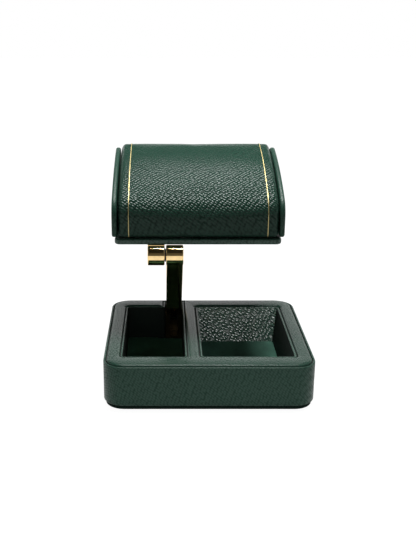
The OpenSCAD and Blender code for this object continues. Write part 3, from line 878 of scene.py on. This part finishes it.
def skin_moves(piece):
    """Blows up an even skin of the piece and returns its points and their capped moves."""
    skin = even_skin(piece)
    glued = [v.index for v in skin.data.vertices if v.co.z < PAD_BASE + PAD_GAP + SKIN_CELL
             or abs(v.co.x - PAD_MIDDLE) > PAD_HALF - 0.5 * SKIN_CELL]
    skin.vertex_groups.new(name="glued").add(glued, 1.0, "REPLACE")
    cloth = skin.modifiers.new("leather", "CLOTH")
    cloth.settings.use_pressure = True
    cloth.settings.uniform_pressure_force = PRESSURE
    cloth.settings.vertex_group_mass = "glued"
    cloth.settings.effector_weights.gravity = 0.0
    for frame_number in range(1, LAST_FRAME + 1):
        bpy.context.scene.frame_set(frame_number)
    blown = skin.evaluated_get(bpy.context.evaluated_depsgraph_get()).data
    points = [v.co.copy() for v in skin.data.vertices]
    moves = [after.co - before for after, before in zip(blown.vertices, points)]
    moves = [move * min(1.0, MOST_MOVE / max(move.length, TINY)) for move in moves]
    print("skin of", len(points), "points, most move", round(max(m.length for m in moves) / MM, 2), "mm")
    bpy.data.objects.remove(skin)
    bpy.context.scene.frame_set(1)
    return points, moves


# %% Moving the padding with its skin
NEAR_POINTS = 6
NEAR_SOFT = 0.5 * MM


def make_swell(piece):
    """A function that says how far a point moves with the skin."""
    points, moves = skin_moves(piece)
    tree = kdtree.KDTree(len(points))
    for index, point in enumerate(points):
        tree.insert(point, index)
    tree.balance()

    def swell_at(point):
        near = tree.find_n(point, NEAR_POINTS)
        weights = [1 / (distance + NEAR_SOFT) for _, _, distance in near]
        total = sum((moves[index] * weight for (_, index, _), weight in zip(near, weights)), Vector())
        return total / sum(weights)

    return swell_at


swell = make_swell(padding)
for vert in padding.data.vertices:
    vert.co += swell(vert.co)
print("padding blown up")

# %% [markdown]
# ## The board under the cushion
# The padding and the end plates stand on a leather-covered board, which sticks out in front as a
# narrow ledge. Its upper face lies a little low, so that a dark groove runs between it and the
# padding. Its leather is glossier than the rest, and its colour is painted lighter: painted light for
# the light that the ledge catches.

# %% Cushion board
LEDGE_DROP = 0.5 * MM
LEDGE_CORNER = 3.0 * MM
LEDGE_EDGE, LEDGE_LOW_EDGE = 1.1 * MM, 1.3 * MM

bm = bmesh.new()
left, right, front, rear, bottom, top = limits("cradle_plate")
outline = box_corners(left, right, front, rear, LEDGE_CORNER)
soft_board(bm, [outline], bottom, top - LEDGE_DROP, LEDGE_EDGE, LEDGE_LOW_EDGE)
finish_piece(bm, "cushion_board", lit_ledge_leather, "cushion", ["cradle_plate"])

# %% [markdown]
# ## Gilt strips
# A thin gilt strip runs over the padding near each end. It follows the side view, so its two edges
# are two open side views: the strip is the ribbon between them, given its thickness with solidify.
# The gilt is only a fine line in the photograph, so the ribbon is about half as wide as the frame's
# solid. It takes the padding's moves before it gets its thickness.

# %% Gilt strips
STRIP_SHARE = 0.55
STRIP_PROUD = 0.05 * MM
STRIP_THICK = 0.3 * MM
BASE_BAND = 0.2 * MM
CUSHION_CORE = 15 * MM


def point_outwards(bm, core):
    """Turns the faces of an open ribbon away from the cushion's core."""
    bmesh.ops.recalc_face_normals(bm, faces=bm.faces)
    highest = max(bm.faces, key=lambda f: f.calc_center_median().z)
    if highest.normal.dot(highest.calc_center_median() - core) < 0:
        bmesh.ops.reverse_faces(bm, faces=bm.faces)


for side in ("left", "right"):
    left, right = limits(f"gold_line_{side}")[:2]
    middle = (left + right) / 2
    bm = bmesh.new()
    ribbon = [middle + STRIP_SHARE * (x - middle) for x in (left, right)]
    edges = [side_view(bm, x, PROUD + STRIP_PROUD, crown_at(middle), PAD_GAP) for x in ribbon]
    bridge_all(bm, edges)
    low = [f for f in bm.faces if all(v.co.z < PAD_BASE + PAD_GAP + BASE_BAND for v in f.verts)]
    bmesh.ops.delete(bm, geom=low, context="FACES")
    point_outwards(bm, Vector((middle, (PAD_FRONT + PAD_REAR) / 2, PAD_BASE + CUSHION_CORE)))
    for vert in bm.verts:
        vert.co += swell(vert.co)
    bmesh.ops.solidify(bm, geom=bm.faces[:], thickness=-STRIP_THICK)
    finish_piece(bm, f"gilt_strip_{side}", gilt, "cushion", [f"gold_line_{side}"])

# %% [markdown]
# ## Brass barrels and the arm
# Polished brass shows every edge, so no edge may be sharp. Each barrel is a cylinder whose end rims
# are rounded with an edge bevel, and each bar is a block with all its edges rounded. The frame holds
# their construction, with bores and pins. These pieces have the same places and add the rounding.

# %% Barrels and bars
RIM_STEPS, BLOCK_STEPS = 5, 4
UPRIGHT_TO_X = Matrix.Rotation(math.pi / 2, 4, "Y")


def add_barrel(bm, left, right, pivot, radius, rim=0.7 * MM, segments=96):
    """A cylinder along X about the pivot with rounded end rims."""
    place = Matrix.Translation(((left + right) / 2, pivot.y, pivot.z)) @ UPRIGHT_TO_X
    made = bmesh.ops.create_cone(bm, cap_ends=True, segments=segments, radius1=radius, radius2=radius,
                                 depth=right - left, matrix=place)
    half_way = (right - left) / 2
    rims = {e for v in made["verts"] for e in v.link_edges
            if abs(e.verts[0].co.x - e.verts[1].co.x) < half_way}
    bmesh.ops.bevel(bm, geom=list(rims), offset=rim, offset_type="OFFSET", affect="EDGES",
                    segments=RIM_STEPS, profile=0.5, material=-1)


def add_block(bm, low, high, edge, turn=Matrix.Identity(4)):
    """A block between two corners with all its edges rounded, then turned."""
    place = turn @ Matrix.Translation((low + high) / 2) @ Matrix.Diagonal((*(high - low), 1))
    made = bmesh.ops.create_cube(bm, size=1.0, matrix=place)
    edges = {e for v in made["verts"] for e in v.link_edges}
    bmesh.ops.bevel(bm, geom=list(edges), offset=edge, offset_type="OFFSET", affect="EDGES",
                    segments=BLOCK_STEPS, profile=0.5, material=-1)


print("barrel and bar helpers ready")

# %% [markdown]
# ## The arm
# The arm is a bar that leans to the front, with a barrel on top and a narrow tongue below, which
# goes between the ears of the bracket. It is drawn upright about the lower pivot and then leant, so
# that its sizes stay plain numbers. Its front face lies on the barrel's front, as in the photograph.

# %% Arm
BARREL_R = 6.2 * MM
ARM_LEAN = math.radians(40)
ARM_THICK = 9.0 * MM
ARM_EDGE = 0.75 * MM
ARM_START, ARM_SHORT = 0.3 * MM, 0.6 * MM
SIDE_STEP = 0.2 * MM
TONGUE_HALF = 2.2 * MM
TONGUE_R = 4.8 * MM
TONGUE_FRONT, TONGUE_REAR = -4.6 * MM, 2.8 * MM
TONGUE_LOW, TONGUE_HIGH = 1.0 * MM, BARREL_R + 0.6 * MM
TONGUE_EDGE = 0.3 * MM

arm_left, arm_right = limits("arm_bar")[:2]
arm_middle = (arm_left + arm_right) / 2
arm_length = (UPPER_PIVOT.yz - LOWER_PIVOT.yz).length
arm_front = SIDE_STEP - BARREL_R
lean = Matrix.Translation((0, LOWER_PIVOT.y, LOWER_PIVOT.z)) @ Matrix.Rotation(ARM_LEAN, 4, "X")

bm = bmesh.new()
add_barrel(bm, arm_left, arm_right, UPPER_PIVOT, BARREL_R)
add_block(bm, Vector((arm_left + SIDE_STEP, arm_front, BARREL_R + ARM_START)),
          Vector((arm_right - SIDE_STEP, arm_front + ARM_THICK, arm_length - ARM_SHORT)), ARM_EDGE, lean)
add_barrel(bm, arm_middle - TONGUE_HALF, arm_middle + TONGUE_HALF, LOWER_PIVOT, TONGUE_R,
           rim=TONGUE_EDGE, segments=64)
add_block(bm, Vector((arm_middle - TONGUE_HALF, TONGUE_FRONT, TONGUE_LOW)),
          Vector((arm_middle + TONGUE_HALF, TONGUE_REAR, TONGUE_HIGH)), TONGUE_EDGE, lean)
finish_piece(bm, "polished_arm", brass, "arm", ["arm_bar"])

# %% [markdown]
# ## The knuckle
# The cushion's half of the hinge is a barrel beside the arm's. A neck joins it to a flat leaf, which
# is screwed under the cushion's board and mostly hidden by it. The leaf stays a hair below the board.

# %% Knuckle
LEAF_THICK = 2 * MM
LEAF_FRONT = 1.0 * MM
LEAF_EDGE = 0.35 * MM
HAIR = 0.02 * MM
NECK_STEP, NECK_FRONT, NECK_TOP = 0.8 * MM, 0.9 * MM, 0.4 * MM
NECK_EDGE = 0.3 * MM

knuckle_left, knuckle_right, _, leaf_rear, _, leaf_top = limits("hinge_knuckle")
bm = bmesh.new()
add_barrel(bm, knuckle_left, knuckle_right, UPPER_PIVOT, BARREL_R)
add_block(bm, Vector((knuckle_left, UPPER_PIVOT.y - LEAF_FRONT, leaf_top - LEAF_THICK)),
          Vector((knuckle_right, leaf_rear, leaf_top - HAIR)), LEAF_EDGE)
add_block(bm, Vector((knuckle_left + NECK_STEP, UPPER_PIVOT.y - NECK_FRONT, UPPER_PIVOT.z)),
          Vector((knuckle_right - NECK_STEP, UPPER_PIVOT.y + BARREL_R, leaf_top - NECK_TOP)), NECK_EDGE)
finish_piece(bm, "polished_knuckle", brass, "cushion", ["hinge_knuckle", "hinge_cap"])

# %% [markdown]
# ## The nodes that stay
# Bracket, pins, screws, washers, carcass and both floor pads keep the shape that the frame gives
# them, because little of them shows. They only get their finish.

# %% Finishes on the frame's nodes
# The bracket and its screws take the near-black tint, painted shade of the compartment.
FINISHES = [(brass, ["lower_pin", "hinge_pin", "hinge_screws"]),
            (shaded_dark_brass, ["arm_bracket", "bracket_screws"]),
            (washer_black, ["lower_washers", "hinge_washer"]),
            (carcass_board, ["carcass"]),
            # The left floor pad's darker lining is painted shade under the cushion.
            (floor_lining, ["left_floor_pad"]),
            (tray_floor_lining, ["right_floor_pad"])]

for material, nodes in FINISHES:
    for node in nodes:
        mesh = frame["nodes"][node].data
        mesh.materials.clear()
        mesh.materials.append(material)
print("finished", sum(len(nodes) for _, nodes in FINISHES), "frame nodes")

# %% [markdown]
# ## A white table
# The photograph is lit for a catalogue: a white table runs into a white background. A camera, a
# mirror and a glass see this table glow evenly, so it is white without any more light on the stand.
# For all other light it is a plain grey board, which keeps the bounce from below low. Where the
# table is seen it still takes a little light, and so it keeps the stand's shadow. The world all
# round is plain white at a strength of 1.

# %% Floor
FLOOR_HALF = 3.0
FLOOR_GLOW = 0.96
FLOOR_BOUNCE, FLOOR_SEEN = 0.45, 0.10

bm = bmesh.new()
bmesh.ops.create_grid(bm, x_segments=1, y_segments=1, size=FLOOR_HALF)
mesh = bpy.data.meshes.new("floor")
bm.to_mesh(mesh)
bm.free()
floor = bpy.data.objects.new("floor", mesh)
bpy.context.scene.collection.objects.link(floor)
floor_material, tree, shader, _ = new_material("white_table")
shader.inputs["Roughness"].default_value = 1.0
shader.inputs["Specular IOR Level"].default_value = 0.0
shader.inputs["Emission Color"].default_value = (1, 1, 1, 1)
path = tree.nodes.new("ShaderNodeLightPath")
mirrored = math_node(tree, "MAXIMUM", path.outputs["Is Glossy Ray"], path.outputs["Is Transmission Ray"])
seen = math_node(tree, "MAXIMUM", path.outputs["Is Camera Ray"], mirrored)
join(tree, math_node(tree, "MULTIPLY", seen, FLOOR_GLOW), shader.inputs["Emission Strength"])
join(tree, ramp(tree, seen, 0.0, 1.0, grey(FLOOR_BOUNCE), grey(FLOOR_SEEN)), shader.inputs["Base Color"])
mesh.materials.append(floor_material)
print("floor ready")

# %% World
world = bpy.data.worlds.new("studio")
bpy.context.scene.world = world
world.use_nodes = True
tree = world.node_tree
tree.nodes.clear()
white = node_add(tree, "ShaderNodeBackground", Color=(1, 1, 1, 1), Strength=1.0)
out = tree.nodes.new("ShaderNodeOutputWorld")
join(tree, white.outputs[0], out.inputs["Surface"])
print("world ready")

# %% [markdown]
# ## Three softboxes
# The grain of the leather only shows where a lamp is mirrored in it. A softbox overhead, a little
# behind the stand, puts the broad sheen on the cushion's top and shoulder. A long low one in front
# reaches under the cushion, to the tray's rear wall and the front of the wrap. A large one far
# behind grazes the rim, and makes it paler than the walls.

# %% Lamps


def softbox(name, place, target, size, power):
    """A white area lamp at a place, turned to a target."""
    data = bpy.data.lights.new(name, "AREA")
    data.shape = "RECTANGLE"
    data.size, data.size_y = size
    data.energy = power
    lamp = bpy.data.objects.new(name, data)
    lamp.location = place
    lamp.rotation_euler = (Vector(target) - Vector(place)).to_track_quat("-Z", "Y").to_euler()
    bpy.context.scene.collection.objects.link(lamp)
    lamp.visible_camera = False


softbox("overhead", (0.03, 0.12, 0.72), (0, 0.02, 0.05), (0.34, 0.20), 8.7)
softbox("right_front", (0.12, -0.78, 0.29), (0, 0, 0.04), (1.0, 0.14), 2.0)
softbox("rear", (0.0, 1.15, 0.375), (0, 0, 0.05), (1.2, 0.45), 1.4)
print("lamps ready")

# %% [markdown]
# ## Dark cards
# A studio is a dark room with a white table. The dark matters as much as the lamps, because brass
# and leather mirror it: it is the black in the barrels and the depth in the green. Matt cards stand
# for the room, in front of the stand, behind it, above it and on both sides towards the front. They
# leave gaps over the table, through which the white world lights the stand. A small card, a flag,
# hangs in front of the cushion and keeps the front lamp off it and off the brass. The camera sees
# none of them.

# %% Cards
CARD_COLOR = (0.05, 0.047, 0.035, 1)
ROOM_SIDE, ROOM_FRONT, ROOM_BACK, CEILING = 1.4, -1.0, 1.3, 1.3
FRONT_GAP, BACK_GAP, SIDE_GAP = 0.2, 0.6, 0.02
SIDE_CARD_END = -0.35
FLAG_SIDE, FLAG_Y = 0.3, -0.2
FLAG_LOW, FLAG_HIGH = 0.105, 0.22


def dark_card(name, corners):
    """A matt dark card that only reflections and shade can show."""
    bm = bmesh.new()
    bm.faces.new([bm.verts.new(corner) for corner in corners])
    mesh = bpy.data.meshes.new(name)
    bm.to_mesh(mesh)
    bm.free()
    card = bpy.data.objects.new(name, mesh)
    bpy.context.scene.collection.objects.link(card)
    material, _, shader, _ = new_material(name)
    shader.inputs["Base Color"].default_value = CARD_COLOR
    shader.inputs["Roughness"].default_value = 1.0
    mesh.materials.append(material)
    card.visible_camera = False


def upright_card(name, half, y, low, high):
    """A card across the room at y, as wide on the left as on the right."""
    dark_card(name, [(-half, y, low), (half, y, low), (half, y, high), (-half, y, high)])


upright_card("dark_front", ROOM_SIDE, ROOM_FRONT, FRONT_GAP, CEILING)
upright_card("dark_back", ROOM_SIDE, ROOM_BACK, BACK_GAP, CEILING)
upright_card("flag", FLAG_SIDE, FLAG_Y, FLAG_LOW, FLAG_HIGH)
dark_card("dark_ceiling", [(-ROOM_SIDE, ROOM_FRONT, CEILING), (ROOM_SIDE, ROOM_FRONT, CEILING),
                           (ROOM_SIDE, ROOM_BACK, CEILING), (-ROOM_SIDE, ROOM_BACK, CEILING)])
for name, x in (("dark_left", -ROOM_SIDE), ("dark_right", ROOM_SIDE)):
    dark_card(name, [(x, ROOM_FRONT, SIDE_GAP), (x, SIDE_CARD_END, SIDE_GAP),
                     (x, SIDE_CARD_END, CEILING), (x, ROOM_FRONT, CEILING)])
print("cards ready")
